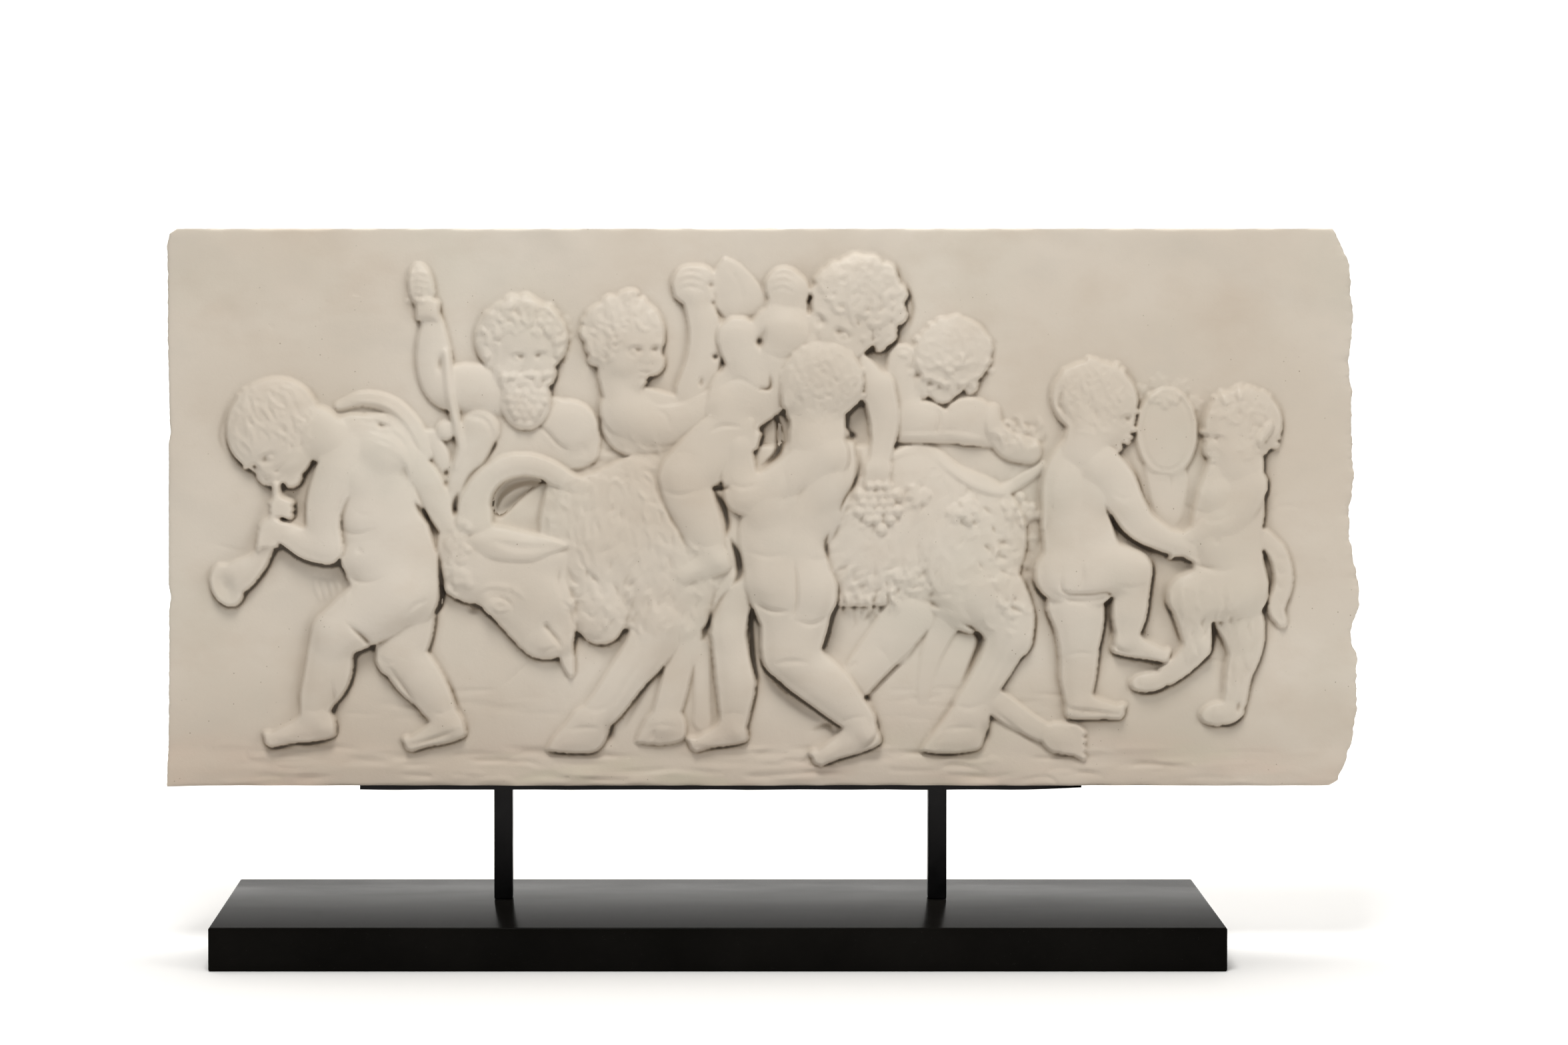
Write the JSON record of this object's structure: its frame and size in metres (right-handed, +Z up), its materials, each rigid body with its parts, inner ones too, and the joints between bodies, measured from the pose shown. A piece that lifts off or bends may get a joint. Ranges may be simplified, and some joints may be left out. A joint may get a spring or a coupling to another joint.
{
  "type": "marble relief plaque on a stand",
  "caption": "Oblong marble panel carved in low relief with a goat and playing children, held on a shelf bar and square posts over a polished black stone base.",
  "frame": {"origin": "centre of the base slab's underside", "axes": "+Z up, -Y out of the carved face, +X to the viewer's right along the panel"},
  "size_m": [0.64, 0.14, 0.388],
  "materials": {
    "marble": "satin",
    "black_steel": "satin",
    "black_stone": "gloss"
  },
  "bodies": {
    "root": {"marble_relief_panel": "marble", "shelf_bar": "black_steel", "post_left": "black_steel", "post_right": "black_steel", "base_slab": "black_stone"}
  },
  "joints": []
}
